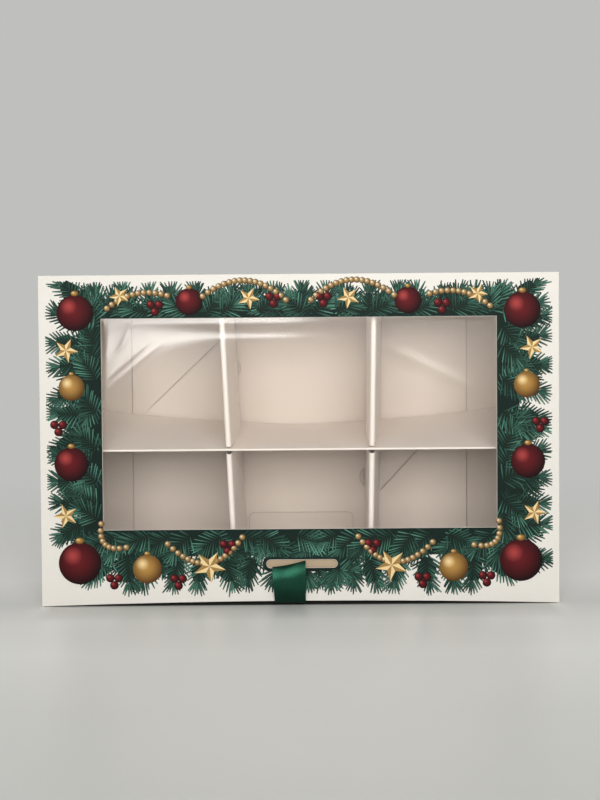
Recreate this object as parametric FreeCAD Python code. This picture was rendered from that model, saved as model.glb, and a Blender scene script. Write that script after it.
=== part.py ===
import FreeCAD, Part
import math
import os

from FreeCAD import Vector

# A folding sweet box of white board with a window lid, a six-cell insert and a pull ribbon.
# It stands on its long front wall with the lid towards the viewer: X runs along the box,
# Y from the lid to the base and Z up. The origin is the middle of the footprint.
# All lengths are in millimetres.

# Carton: outside size, board and the play that a creased board fold needs
width = 250.0
depth = 70.0
height = 160.0
board = 0.5
crease_gap = 0.1

# Lid: window, ribbon slot and the bow of the free edge between its corners
window_side_margin = 30.0
window_top_margin = 21.0
slot_lip_height = 18.0
slot_height = 4.0
slot_length = 34.3
slot_shift = 0.7
rail_above_slot = 15.0
lid_corner_lift = 0.2
film_overlap = 7.5
film_thickness = 0.15

# Tuck flap on the lid's free edge, and the play under it as it swings out
tuck_length = 16.0
tuck_side_relief = 12.0
tuck_corner_radius = 8.0
tuck_lift = 1.5

# Dust flaps on the front edges of the side walls
dust_flap_length = 26.0
dust_flap_gap = 0.4
dust_flap_foot = 8.0
dust_flap_head = 10.0
dust_flap_taper_deg = 45.0
dust_flap_corner_radius = 6.0

# Glued seam that closes the four walls into a ring
seam_tab_width = 14.0
seam_tab_inset = 4.0

# Self-locking base: two long flaps with hook tongues, two side flaps with glued tabs
side_flap_reach = 34.0
tongue_width = 68.0
tongue_reach = 50.0
tongue_corner_radius = 3.0
notch_offset = 30.0
notch_radius = 6.3
notch_depth = 3.8

# Six-cell insert of double board, folded along its front edges
insert_setback = 5.5
insert_gap = 0.3
middle_cell_width = 69.5
shelf_height = 78.0
ply_gap = 0.4
slot_play = 0.2
tuck_play = 0.5
lap_share = 0.5

# Satin pull ribbon
ribbon_width = 16.0
ribbon_thickness = 0.25
ribbon_shift = -5.6
ribbon_film_gap = 1.0
ribbon_lip_gap = 0.3
ribbon_curl_radius = 0.45
ribbon_curl_lift = 0.6
ribbon_tail_start = 1.5
ribbon_tail_length = 9.0

# Cuts run this far past the faces that they open
overrun = 1.0

# Planes that several pieces share
lid_face = -depth / 2
lid_back = lid_face + board
lid_edge = board + tuck_lift
lid_axis_y = lid_face + board / 2
lid_axis_z = height - board / 2
base_face = depth / 2
base_outer_back = base_face - board
base_inner_back = base_outer_back - board
base_floor = base_inner_back - board
wall_inner_x = width / 2 - board
wall_inner_top = height - board
mid_height = height / 2
window_half = width / 2 - window_side_margin
window_bottom = slot_lip_height + slot_height + rail_above_slot
window_top = height - window_top_margin
film_bottom = window_bottom - film_overlap
dust_flap_front = lid_back + dust_flap_gap
dust_axis_y = dust_flap_front + board / 2
dust_axis_x = width / 2 - board / 2
wall_front = dust_flap_front + board + crease_gap
divider_front = lid_back + insert_setback
divider_back = base_floor - insert_gap
divider_thickness = board * 2 + ply_gap
lap_line = divider_front + (divider_back - divider_front) * lap_share

AXIS_X = Vector(1, 0, 0)
AXIS_Y = Vector(0, 1, 0)
AXIS_Z = Vector(0, 0, 1)
parallel_share = 0.001


def block(low, high):
    """Box between two opposite corners."""
    size = [b - a for a, b in zip(low, high)]
    return Part.makeBox(*size, Vector(*low))


def outline_prism(edges, run):
    """Prism of a closed outline of edges along the vector run."""
    return Part.Face(Part.Wire(edges)).extrude(run)


def straight_edges(points):
    """Line edges through the points in order."""
    return [Part.LineSegment(a, b).toShape() for a, b in zip(points, points[1:])]


def arc_edge(start, middle, end):
    """Arc edge through three points."""
    return Part.Arc(start, middle, end).toShape()


def upright_plate(points, front, back):
    """Plate that stands in the XZ plane, from the (x, z) points of its outline."""
    corners = [Vector(x, front, z) for x, z in points + points[:1]]
    return outline_prism(straight_edges(corners), Vector(0, back - front, 0))


def edges_along(shape, axis, wanted):
    """Straight edges parallel to the axis whose middle meets the wanted test."""
    found = []
    for edge in shape.Edges:
        direction = edge.Vertexes[-1].Point - edge.Vertexes[0].Point
        straight = edge.Curve.TypeId == "Part::GeomLine"
        if straight and direction.cross(axis).Length < direction.Length * parallel_share:
            if wanted(edge.CenterOfMass):
                found.append(edge)
    return found


def hinge_wall():
    """Long wall that carries the lid on its front crease."""
    front = lid_back + crease_gap
    return block((-width / 2, front, wall_inner_top), (width / 2, base_face, height))


def front_wall():
    """Long wall that the box stands on, opposite the hinge wall."""
    return block((-width / 2, wall_front, 0), (width / 2, base_face, board))


def side_wall(side):
    """Short end wall, side -1 at the left and 1 at the right."""
    near = min(side * wall_inner_x, side * width / 2)
    far = max(side * wall_inner_x, side * width / 2)
    return block((near, wall_front, board), (far, base_face, wall_inner_top))


def seam_tab():
    """Tab of the hinge wall, glued to the inside of the left wall."""
    top = wall_inner_top - crease_gap
    low = (-wall_inner_x, wall_front + seam_tab_inset, top - seam_tab_width)
    high = (board - wall_inner_x, base_floor - seam_tab_inset, top)
    return block(low, high)


def base_upper_flap():
    """Long base flap from the hinge wall, with its hook tongue below the middle."""
    half = wall_inner_x - crease_gap
    top = wall_inner_top - crease_gap
    tongue = tongue_width / 2
    tongue_end = mid_height - tongue_reach
    points = [(-half, top), (half, top), (half, mid_height), (tongue, mid_height),
              (tongue, tongue_end), (-tongue, tongue_end), (-tongue, mid_height), (-half, mid_height)]
    flap = upright_plate(points, base_inner_back, base_outer_back)
    corners = edges_along(flap, AXIS_Y, lambda p: p.z < tongue_end + tongue_corner_radius)
    flap = flap.makeFillet(tongue_corner_radius, corners)
    notch_x = tongue + notch_radius - notch_depth
    notch_foot = Vector(notch_x, base_inner_back - overrun, mid_height - notch_offset)
    notch = Part.makeCylinder(notch_radius, board + overrun * 2, notch_foot, AXIS_Y)
    return flap.cut(notch)


def base_lower_flap():
    """Long base flap from the front wall: the upper flap turned half round, one layer out."""
    flap = base_upper_flap()
    flap.rotate(Vector(0, 0, mid_height), AXIS_Y, 180)
    flap.translate(Vector(0, board, 0))
    return flap


def base_side_flap(side):
    """Short base flap from an end wall, on the inside of the long flaps."""
    outer = wall_inner_x - crease_gap
    inner = width / 2 - side_flap_reach
    near = min(side * inner, side * outer)
    far = max(side * inner, side * outer)
    low = (near, base_floor, board + crease_gap)
    return block(low, (far, base_inner_back, wall_inner_top - crease_gap))


def base_glue_tab(side):
    """Corner of a side flap past its diagonal crease, glued to the long flap beside it."""
    root = width / 2 - side_flap_reach - crease_gap
    top = wall_inner_top - crease_gap
    leg = top - mid_height - crease_gap
    tab = upright_plate([(-root, top), (leg - root, top), (-root, top - leg)], base_floor, base_inner_back)
    if side > 0:
        tab.rotate(Vector(0, 0, mid_height), AXIS_Y, 180)
    return tab


def lid_panel():
    """Window lid, rounded about its crease, with the ribbon slot and a bowed free edge."""
    half = board / 2
    profile = straight_edges([Vector(-width / 2, lid_back, lid_axis_z), Vector(-width / 2, lid_back, 0),
                              Vector(-width / 2, lid_face, 0), Vector(-width / 2, lid_face, lid_axis_z)])
    profile.append(arc_edge(Vector(-width / 2, lid_face, lid_axis_z),
                            Vector(-width / 2, lid_axis_y, lid_axis_z + half),
                            Vector(-width / 2, lid_back, lid_axis_z)))
    panel = outline_prism(profile, Vector(width, 0, 0))

    cut_front = lid_face - overrun
    through = board + overrun * 2
    window = block((-window_half, cut_front, window_bottom), (window_half, cut_front + through, window_top))

    reach = width / 2
    bow = straight_edges([Vector(reach, cut_front, lid_corner_lift), Vector(reach, cut_front, -overrun),
                          Vector(-reach, cut_front, -overrun), Vector(-reach, cut_front, lid_corner_lift)])
    bow.append(arc_edge(Vector(-reach, cut_front, lid_corner_lift), Vector(0, cut_front, lid_edge),
                        Vector(reach, cut_front, lid_corner_lift)))
    return panel.cut([window, outline_prism(bow, Vector(0, through, 0)), ribbon_slot(cut_front, through)])


def ribbon_slot(front, through):
    """Cutter for the round-ended slot that the ribbon comes out of."""
    radius = slot_height / 2
    level = slot_lip_height + radius
    run = slot_length / 2 - radius
    corners = [Vector(slot_shift + x, front, level + z) for x, z in
               ((-run, radius), (run, radius), (run, -radius), (-run, -radius))]
    edges = [Part.LineSegment(corners[0], corners[1]).toShape(),
             arc_edge(corners[1], Vector(slot_shift + run + radius, front, level), corners[2]),
             Part.LineSegment(corners[2], corners[3]).toShape(),
             arc_edge(corners[3], Vector(slot_shift - run - radius, front, level), corners[0])]
    return outline_prism(edges, Vector(0, through, 0))


def window_film():
    """Clear film, glued by its border to the lid's inner face."""
    half = window_half + film_overlap
    return block((-half, lid_back, film_bottom), (half, lid_back + film_thickness, window_top + film_overlap))


def tuck_flap():
    """Flap on the lid's free edge that slips in over the front wall."""
    half = board / 2
    root = lid_back + crease_gap + half
    end = lid_back + tuck_length
    side = width / 2 - tuck_side_relief
    profile = straight_edges([Vector(-side, root, lid_edge), Vector(-side, end, lid_edge),
                              Vector(-side, end, lid_edge + board), Vector(-side, root, lid_edge + board)])
    profile.append(arc_edge(Vector(-side, root, lid_edge + board),
                            Vector(-side, root - half, lid_edge + half), Vector(-side, root, lid_edge)))
    flap = outline_prism(profile, Vector(side * 2, 0, 0))
    corners = edges_along(flap, AXIS_Z, lambda p: p.y > end - tuck_corner_radius)
    return flap.makeFillet(tuck_corner_radius, corners)


def dust_flap(side):
    """Flap on an end wall's front edge that folds in behind the lid."""
    half = board / 2
    foot = board + dust_flap_foot
    tip = dust_axis_x - dust_flap_length
    front = dust_flap_front
    profile = straight_edges([Vector(dust_axis_x, front, foot), Vector(tip, front, foot),
                              Vector(tip, front + board, foot), Vector(dust_axis_x, front + board, foot)])
    profile.append(arc_edge(Vector(dust_axis_x, front + board, foot),
                            Vector(dust_axis_x + half, dust_axis_y, foot), Vector(dust_axis_x, front, foot)))
    head = wall_inner_top - dust_flap_head
    flap = outline_prism(profile, Vector(0, 0, head - foot))
    drop = dust_flap_length * math.tan(math.radians(dust_flap_taper_deg))
    taper = upright_plate([(dust_axis_x, head), (tip - overrun, head),
                           (tip - overrun, head - drop - overrun * drop / dust_flap_length)],
                          front - overrun, front + board + overrun)
    flap = flap.cut(taper)
    corners = edges_along(flap, AXIS_Y, lambda p: p.x < tip + board)
    flap = flap.makeFillet(dust_flap_corner_radius, corners)
    return flap if side > 0 else flap.mirror(Vector(0, 0, 0), AXIS_X)


def folded_profile(to_point):
    """Hairpin section of double board, fold at the front, through to_point(across, along)."""
    outer = divider_thickness / 2
    inner = ply_gap / 2
    fold = divider_front + outer
    edges = [arc_edge(to_point(-outer, fold), to_point(0, divider_front), to_point(outer, fold))]
    edges += straight_edges([to_point(outer, fold), to_point(outer, divider_back),
                             to_point(inner, divider_back), to_point(inner, fold)])
    edges.append(arc_edge(to_point(inner, fold), to_point(0, fold - inner), to_point(-inner, fold)))
    edges += straight_edges([to_point(-inner, fold), to_point(-inner, divider_back),
                             to_point(-outer, divider_back), to_point(-outer, fold)])
    return edges


def cross_place(side):
    """Middle of a cross divider along the box."""
    return side * (middle_cell_width + divider_thickness) / 2


def long_divider():
    """Long divider between the two rows of cells, slotted from its back edge."""
    end = wall_inner_x - insert_gap
    profile = folded_profile(lambda across, along: Vector(-end, along, shelf_height + across))
    divider = outline_prism(profile, Vector(end * 2, 0, 0))
    half_slot = divider_thickness / 2 + slot_play
    reach = divider_thickness / 2 + overrun
    slots = [block((cross_place(side) - half_slot, lap_line - slot_play, shelf_height - reach),
                   (cross_place(side) + half_slot, divider_back + overrun, shelf_height + reach))
             for side in (-1, 1)]
    return divider.cut(slots)


def cross_divider(side):
    """Short divider between two columns of cells, slotted from its front edge."""
    place = cross_place(side)
    foot = lid_edge + board + tuck_play
    profile = folded_profile(lambda across, along: Vector(place + across, along, foot))
    divider = outline_prism(profile, Vector(0, 0, wall_inner_top - insert_gap - foot))
    half_slot = divider_thickness / 2 + slot_play
    reach = divider_thickness / 2 + overrun
    slot = block((place - reach, divider_front - overrun, shelf_height - half_slot),
                 (place + reach, lap_line + slot_play, shelf_height + half_slot))
    return divider.cut(slot)


def pull_ribbon():
    """Ribbon from inside the lid, out of the slot and down the face to the free edge."""
    top = film_bottom - ribbon_film_gap
    upper = slot_lip_height + slot_height - ribbon_lip_gap
    lower = slot_lip_height + ribbon_lip_gap
    front = lid_face - ribbon_thickness
    inside = lid_back + ribbon_thickness
    inner = ribbon_curl_radius
    outer = inner + ribbon_thickness
    curl_y = lid_face + inner
    curl_z = ribbon_curl_lift + outer

    def point(y, z):
        return Vector(ribbon_shift - ribbon_width / 2, y, z)

    def curl_middle(radius):
        lean = radius * math.sqrt(1 / 2)
        return point(curl_y - lean, curl_z - lean)

    edges = straight_edges([point(curl_y, curl_z - inner), point(curl_y, ribbon_curl_lift)])
    edges.append(arc_edge(point(curl_y, ribbon_curl_lift), curl_middle(outer), point(front, curl_z)))
    edges += straight_edges([point(front, curl_z), point(front, lower), point(lid_back, upper),
                             point(lid_back, top), point(inside, top), point(inside, upper),
                             point(lid_face, lower), point(lid_face, curl_z)])
    edges.append(arc_edge(point(lid_face, curl_z), curl_middle(inner), point(curl_y, curl_z - inner)))
    return outline_prism(edges, Vector(ribbon_width, 0, 0))


def ribbon_tail():
    """End of the ribbon, glued under the tuck flap."""
    x = ribbon_shift - ribbon_width / 2
    start = lid_back + ribbon_tail_start
    low = (x, start, lid_edge - ribbon_thickness)
    return block(low, (x + ribbon_width, start + ribbon_tail_length, lid_edge))


pieces = {
    "hinge_wall": hinge_wall(),
    "front_wall": front_wall(),
    "left_wall": side_wall(-1),
    "right_wall": side_wall(1),
    "seam_tab": seam_tab(),
    "base_upper_flap": base_upper_flap(),
    "base_lower_flap": base_lower_flap(),
    "base_left_flap": base_side_flap(-1),
    "base_right_flap": base_side_flap(1),
    "base_left_glue_tab": base_glue_tab(-1),
    "base_right_glue_tab": base_glue_tab(1),
    "lid_panel": lid_panel(),
    "window_film": window_film(),
    "tuck_flap": tuck_flap(),
    "dust_flap_left": dust_flap(-1),
    "dust_flap_right": dust_flap(1),
    "long_divider": long_divider(),
    "cross_divider_left": cross_divider(-1),
    "cross_divider_right": cross_divider(1),
    "pull_ribbon": pull_ribbon(),
    "ribbon_tail": ribbon_tail(),
}

os.makedirs("parts", exist_ok=True)
for node, shape in pieces.items():
    shape.exportStep("parts/" + node + ".step")
    print(node, "solids", len(shape.Solids), "valid", shape.isValid(), "volume", round(shape.Volume, 2))
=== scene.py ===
import math
import random

import bpy
from mathutils import Matrix, Vector


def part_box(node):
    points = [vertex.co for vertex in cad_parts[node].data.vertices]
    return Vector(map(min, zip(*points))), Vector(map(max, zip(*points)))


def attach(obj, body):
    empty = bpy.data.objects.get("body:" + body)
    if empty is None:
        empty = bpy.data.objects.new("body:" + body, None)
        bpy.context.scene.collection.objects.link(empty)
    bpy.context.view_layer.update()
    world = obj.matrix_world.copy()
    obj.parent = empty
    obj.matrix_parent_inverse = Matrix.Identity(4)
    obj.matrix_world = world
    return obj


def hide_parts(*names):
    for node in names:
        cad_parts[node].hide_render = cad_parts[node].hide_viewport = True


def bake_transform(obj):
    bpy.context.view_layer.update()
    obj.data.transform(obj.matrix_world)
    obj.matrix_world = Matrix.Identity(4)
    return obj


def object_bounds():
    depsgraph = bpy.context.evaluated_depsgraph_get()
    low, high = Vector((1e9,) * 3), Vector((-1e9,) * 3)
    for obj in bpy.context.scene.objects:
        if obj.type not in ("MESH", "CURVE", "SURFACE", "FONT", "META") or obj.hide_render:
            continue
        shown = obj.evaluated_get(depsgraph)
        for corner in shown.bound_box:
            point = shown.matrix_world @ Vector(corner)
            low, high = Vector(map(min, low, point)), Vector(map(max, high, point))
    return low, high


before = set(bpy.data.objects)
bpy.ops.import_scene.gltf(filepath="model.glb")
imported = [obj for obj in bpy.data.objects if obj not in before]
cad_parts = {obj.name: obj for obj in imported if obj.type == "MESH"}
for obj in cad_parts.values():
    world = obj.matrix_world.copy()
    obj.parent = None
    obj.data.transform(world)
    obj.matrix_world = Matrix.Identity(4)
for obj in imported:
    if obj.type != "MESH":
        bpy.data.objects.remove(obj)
cad_low, cad_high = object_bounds()


# Carton walls
# The four walls are one strip of white folding board, coated on the outside, creased at the
# corners and glued into a ring at the seam tab. The long top wall carries the lid.

WALLS = ("hinge_wall", "front_wall", "left_wall", "right_wall")
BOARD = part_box("front_wall")[1].z
HAIR = BOARD / 10
CREASE_RADIUS = 0.0007
CREASE_SEGMENTS = 4
FOOT_BOW = 0.0014
FOOT_SETBACK = 0.0015
WALL_COLUMNS = 24
COATED_WHITE = (0.735, 0.712, 0.665, 1)
INSIDE_CREAM = (0.672, 0.580, 0.505, 1)
BOARD_SHADE = (0.690, 0.655, 0.605, 1)
# Painted shade for the gap under the base flaps' free edges
GAP_SHADE_COLOUR = (0.460, 0.385, 0.330, 1)
CLOUD_SCALE = 38.0
FIBRE_SCALE = 2600.0
FIBRE_STRETCH = (0.4, 1.0, 1.0)
FIBRE_ROUGHNESS = (0.46, 0.66)
FIBRE_HEIGHT = 0.00004
BOARD_GLOSS = 0.35


def clear_selection():
    """Leaves nothing selected, so that an operator acts on the new piece alone."""
    if bpy.context.mode != "OBJECT":
        bpy.ops.object.mode_set(mode="OBJECT")
    bpy.ops.object.select_all(action="DESELECT")


def edit_where(piece, kind, wanted):
    """Opens the piece in edit mode with the elements selected whose place meets the test."""
    bpy.ops.object.mode_set(mode="OBJECT")
    mesh = piece.data
    for elements in (mesh.vertices, mesh.edges, mesh.polygons):
        elements.foreach_set("select", [False] * len(elements))
    if kind == "FACE":
        for face in mesh.polygons:
            face.select = wanted(face.center, face.normal)
    elif kind == "EDGE":
        for edge in mesh.edges:
            ends = [mesh.vertices[i].co for i in edge.vertices]
            edge.select = wanted(*ends)
    else:
        for corner in mesh.vertices:
            corner.select = wanted(corner.co)
    bpy.context.tool_settings.mesh_select_mode = (kind == "VERT", kind == "EDGE", kind == "FACE")
    bpy.ops.object.mode_set(mode="EDIT")


def apply_modifier(piece, kind, **settings):
    """Adds one modifier, sets it and applies it."""
    bpy.ops.object.mode_set(mode="OBJECT")
    modifier = piece.modifiers.new(kind.lower(), kind)
    for name, value in settings.items():
        setattr(modifier, name, value)
    bpy.ops.object.modifier_apply(modifier=modifier.name)


def smooth(degrees):
    """Smooth shading of the active piece, with edges sharper than the angle kept."""
    bpy.ops.object.mode_set(mode="OBJECT")
    bpy.ops.object.shade_smooth_by_angle(angle=math.radians(degrees))


def add_node(tree, kind, inputs=None, **settings):
    """A shader node whose inputs are linked to sockets or set to plain values."""
    made = tree.nodes.new(kind)
    for name, value in settings.items():
        setattr(made, name, value)
    for name, value in (inputs or {}).items():
        if isinstance(value, bpy.types.NodeSocket):
            tree.links.new(value, made.inputs[name])
        else:
            made.inputs[name].default_value = value
    return made


def mix_colours(tree, share, first, second):
    """Colour at a share of the way from the first to the second, as a socket."""
    return add_node(tree, "ShaderNodeMix", {0: share, 6: first, 7: second}, data_type="RGBA").outputs[2]


def calculate(tree, operation, first, second):
    """Result of one sum or comparison, as a socket."""
    return add_node(tree, "ShaderNodeMath", {0: first, 1: second}, operation=operation).outputs[0]


def map_range(tree, value, source, result=(0.0, 1.0), kind="LINEAR"):
    """A value brought from one range to another and held at its ends, as a socket."""
    ends = {0: value, 1: source[0], 2: source[1], 3: result[0], 4: result[1]}
    return add_node(tree, "ShaderNodeMapRange", ends, interpolation_type=kind).outputs[0]


def new_material(name):
    """A node material with its tree and its Principled shader."""
    material = bpy.data.materials.new(name)
    material.use_nodes = True
    tree = material.node_tree
    return material, tree, tree.nodes["Principled BSDF"]


def set_shader(shader, **values):
    """Sets inputs of a Principled shader by their names, with _ for a space."""
    for name, value in values.items():
        shader.inputs[name.replace("_", " ")].default_value = value


def dress(piece, material):
    """Gives the piece this one material."""
    piece.data.materials.clear()
    piece.data.materials.append(material)


def fibre_noise(tree, place, stretch, scale):
    """Noise drawn out along fibres or threads, as a socket."""
    along = add_node(tree, "ShaderNodeMapping", {"Vector": place, "Scale": stretch}).outputs[0]
    noise = add_node(tree, "ShaderNodeTexNoise", {"Vector": along, "Scale": scale, "Detail": 3.0})
    return noise.outputs["Fac"]


# Paper grain for every board: cloudy formation of the sheet and short fibres along X
GRAIN_SOCKETS = {
    "INPUT": {"Colour": "Color", "Shade": "Color", "Cloud": "Float"},
    "OUTPUT": {"Colour": "Color", "Roughness": "Float", "Height": "Float"},
}
grain = bpy.data.node_groups.new("board_grain", "ShaderNodeTree")
for way, sockets in GRAIN_SOCKETS.items():
    for label, kind in sockets.items():
        grain.interface.new_socket(label, in_out=way, socket_type="NodeSocket" + kind)
grain_in = grain.nodes.new("NodeGroupInput").outputs
grain_place = add_node(grain, "ShaderNodeTexCoord").outputs["Object"]
grain_cloud = add_node(grain, "ShaderNodeTexNoise",
                       {"Vector": grain_place, "Scale": CLOUD_SCALE, "Detail": 4.0}).outputs["Fac"]
grain_share = calculate(grain, "MULTIPLY", grain_cloud, grain_in["Cloud"])
grain_fibre = fibre_noise(grain, grain_place, FIBRE_STRETCH, FIBRE_SCALE)
add_node(grain, "NodeGroupOutput", {
    "Colour": mix_colours(grain, grain_share, grain_in["Colour"], grain_in["Shade"]),
    "Roughness": map_range(grain, grain_fibre, (0.0, 1.0), FIBRE_ROUGHNESS),
    "Height": grain_fibre,
})


def board_material(name, colour, shade, cloud, bump):
    """Folding board: cloudy colour, fibre roughness and a very fine fibre bump."""
    material, tree, shader = new_material(name)
    grained = add_node(tree, "ShaderNodeGroup",
                       {"Colour": colour, "Shade": shade, "Cloud": cloud}, node_tree=grain)
    relief = add_node(tree, "ShaderNodeBump",
                      {"Height": grained.outputs["Height"], "Strength": bump, "Distance": FIBRE_HEIGHT})
    tree.links.new(grained.outputs["Colour"], shader.inputs["Base Color"])
    tree.links.new(grained.outputs["Roughness"], shader.inputs["Roughness"])
    tree.links.new(relief.outputs[0], shader.inputs["Normal"])
    set_shader(shader, Specular_IOR_Level=BOARD_GLOSS)
    return material, tree, grained


def carton_material():
    """Board that is coated white outside the box and left cream inside it, with painted shade along the base
    flaps' free edges.
    """
    material, tree, grained = board_material("carton_board", COATED_WHITE, BOARD_SHADE, cloud=0.22, bump=0.25)
    place = add_node(tree, "ShaderNodeTexCoord")
    half = (cad_high - cad_low) / 2
    inset = half - Vector((BOARD, BOARD * 1.5, BOARD)) / 2
    centred = add_node(tree, "ShaderNodeVectorMath",
                       {0: place.outputs["Object"], 1: (cad_low + cad_high) / 2}, operation="SUBTRACT")
    absolute = add_node(tree, "ShaderNodeVectorMath", {0: centred.outputs[0]}, operation="ABSOLUTE")
    apart = add_node(tree, "ShaderNodeSeparateXYZ", {0: absolute.outputs[0]})
    facing = add_node(tree, "ShaderNodeVectorMath",
                      {0: centred.outputs[0], 1: place.outputs["Normal"]}, operation="MULTIPLY")
    facing_apart = add_node(tree, "ShaderNodeSeparateXYZ", {0: facing.outputs[0]})
    outside = 0.0
    for i in range(3):
        for measured, least in ((apart, inset[i]), (facing_apart, half[i] / 2)):
            mask = calculate(tree, "GREATER_THAN", measured.outputs[i], least)
            outside = calculate(tree, "MAXIMUM", outside, mask)
    colour = mix_colours(tree, outside, INSIDE_CREAM, COATED_WHITE)
    # Painted shade: the base flaps' free edges are darkened for the shadow in the gap beneath them
    painted_gap_shade = add_node(tree, "ShaderNodeAttribute", attribute_name="painted_gap_shade").outputs["Fac"]
    tree.links.new(mix_colours(tree, painted_gap_shade, colour, GAP_SHADE_COLOUR), grained.inputs["Colour"])
    return material


carton_board = carton_material()
wall_low = Vector((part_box("left_wall")[0].x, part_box("left_wall")[0].y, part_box("front_wall")[0].z))
wall_high = Vector((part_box("right_wall")[1].x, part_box("right_wall")[1].y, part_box("hinge_wall")[1].z))
hinge_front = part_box("hinge_wall")[0].y

clear_selection()
bpy.ops.mesh.primitive_cube_add(size=1, location=(wall_low + wall_high) / 2)
walls = bpy.context.object
walls.name = "carton_walls"
walls.scale = wall_high - wall_low
bpy.ops.object.transform_apply(location=True, rotation=False, scale=True)
edit_where(walls, "FACE", lambda place, normal: abs(normal.y) > 0.9)
bpy.ops.mesh.delete(type="ONLY_FACE")
edit_where(walls, "EDGE", lambda a, b: abs(a.y - b.y) > BOARD)
bpy.ops.mesh.bevel(offset=CREASE_RADIUS, segments=CREASE_SEGMENTS)
edit_where(walls, "VERT", lambda p: p.y < 0 and p.z > wall_high.z - HAIR)
bpy.ops.transform.translate(value=(0, hinge_front - wall_low.y, 0))
edit_where(walls, "VERT", lambda p: p.y < 0 and p.z < wall_low.z + HAIR)
bpy.ops.transform.translate(value=(0, FOOT_SETBACK, 0))
for i in range(1, WALL_COLUMNS):
    column = wall_low.x + (wall_high.x - wall_low.x) * i / WALL_COLUMNS
    edit_where(walls, "FACE", lambda place, normal: abs(normal.z) > 0.9)
    bpy.ops.mesh.bisect(plane_co=(column, 0, 0), plane_no=(1, 0, 0))
bpy.ops.object.mode_set(mode="OBJECT")
for corner in walls.data.vertices:
    if corner.co.z < wall_low.z + HAIR and corner.co.y < 0:
        corner.co.z += FOOT_BOW * max(0.0, 1 - (corner.co.x / (wall_high.x - CREASE_RADIUS)) ** 2)
apply_modifier(walls, "SOLIDIFY", thickness=BOARD, offset=-1, use_even_offset=True)
smooth(40)
dress(walls, carton_board)
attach(walls, "carton")
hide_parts(*WALLS)


# Base and glue tabs
# The self-locking base is four flaps of the same blank: two long ones with hook tongues that
# cross in the middle, and two short ones whose corners are folded on the slant and glued down.

FLAP_LIFT = 0.0012
FLAP_LIFT_REACH = 0.011
# Width of the painted shade along the flaps' free edges
GAP_SHADE_WIDTH = 0.0006
LIFT_STEPS = (GAP_SHADE_WIDTH, 0.0020, 0.0036, 0.0054, 0.0072, 0.0090, FLAP_LIFT_REACH)
TAB_EDGES = {
    "base_left_glue_tab": ((-0.0486, 0.1190), (-0.0793, 0.0898)),
    "base_right_glue_tab": ((0.0655, 0.0650), (0.0430, 0.0410)),
}
RIGHT_TAB_END = 0.0400
FLAP_EDGE = 0.080
TONGUE_SIDES = (-0.0340, 0.0366)
TONGUE_OVERLAP = 0.0110
TONGUE_ROUND = 0.0034
LOWER_TONGUE_SIDES = (-0.0282, 0.0290)
LOWER_TONGUE_FOOT = 0.0080
HOOK_LIPS = ((-0.0382, 0.1090, -0.0345), (0.0388, 0.0490, 0.0350))
HOOK_RADIUS = 0.0063
HOOK_LIFT = 0.0008
base_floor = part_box("base_left_flap")[0].y


def between(low, high, share):
    """Value at a share of the way from low to high."""
    return low + (high - low) * share


def folded_sheet(name, columns, rows, place):
    """A sheet laid out as a grid, each point put where place(across, along) says."""
    clear_selection()
    bpy.ops.mesh.primitive_grid_add(x_subdivisions=columns, y_subdivisions=rows, size=1)
    piece = bpy.context.object
    piece.name = name
    for corner in piece.data.vertices:
        corner.co = place(corner.co.x + 0.5, corner.co.y + 0.5)
    return piece


def base_sheet(node, columns, rows):
    """A flat sheet over the node's outline, level with the cells' floor."""
    low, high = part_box(node)

    def place(across, along):
        return (between(low.x, high.x, across), base_floor, between(low.z, high.z, along))

    return folded_sheet(node + "_card", columns, rows, place)


def upright_panel(name, sides, levels, y):
    """A plain upright rectangle that faces the lid."""
    clear_selection()
    bpy.ops.mesh.primitive_plane_add(size=1, rotation=(math.pi / 2, 0, 0))
    piece = bpy.context.object
    piece.name = name
    piece.scale = (sides[1] - sides[0], levels[1] - levels[0], 1)
    piece.location = (sum(sides) / 2, y, sum(levels) / 2)
    bpy.ops.object.transform_apply(location=True, rotation=True, scale=True)
    return piece


def upright_disc(vertices, radius, place, fill="NGON"):
    """A flat round or many-sided face that faces the lid."""
    clear_selection()
    bpy.ops.mesh.primitive_circle_add(vertices=vertices, radius=radius, fill_type=fill, location=place,
                                      rotation=(math.pi / 2, 0, 0))
    bpy.ops.object.transform_apply(location=True, rotation=True, scale=True)
    return bpy.context.object


def cut(piece, point, normal, **cleared):
    """Cuts the whole piece along a plane, and clears the side that is named."""
    edit_where(piece, "FACE", lambda place, facing: True)
    bpy.ops.mesh.bisect(plane_co=point, plane_no=normal, **cleared)


def inset_rim(piece, width):
    """Cuts a rim of this width along the outline of a piece with one face, and selects the middle."""
    edit_where(piece, "FACE", lambda place, normal: True)
    bpy.ops.mesh.inset(thickness=width)


def cut_levels(piece, start, across):
    """Cuts rows of edges parallel to a free edge, for its curl and its painted shade."""
    for step in LIFT_STEPS:
        cut(piece, start + across * step, across)
    bpy.ops.object.mode_set(mode="OBJECT")


def mark_painted_gap_shade(piece, distance):
    """Stores how near each point is to the free edge, for the painted shade along it."""
    layer = piece.data.attributes.new("painted_gap_shade", "FLOAT", "POINT")
    layer.data.foreach_set("value", [max(0.0, 1 - distance(corner.co) / GAP_SHADE_WIDTH)
                                     for corner in piece.data.vertices])


def edge_lift(distance):
    """How far a flap's free edge curls up, falling off with the distance from the edge."""
    return FLAP_LIFT * max(0.0, 1 - distance / FLAP_LIFT_REACH) ** 2


def curl_and_shade_edge(piece, distance):
    """Paints shade along a flap's free edge, for the gap beneath it, and curls the edge up."""
    mark_painted_gap_shade(piece, distance)
    for corner in piece.data.vertices:
        corner.co.y -= edge_lift(distance(corner.co))


def thicken(piece, thickness, offset, degrees):
    """Turns a sheet's faces outwards, gives it its thickness and smooths its bends."""
    bpy.ops.object.mode_set(mode="EDIT")
    bpy.ops.mesh.select_all(action="SELECT")
    bpy.ops.mesh.normals_make_consistent(inside=False)
    apply_modifier(piece, "SOLIDIFY", thickness=thickness, offset=offset)
    smooth(degrees)


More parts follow.
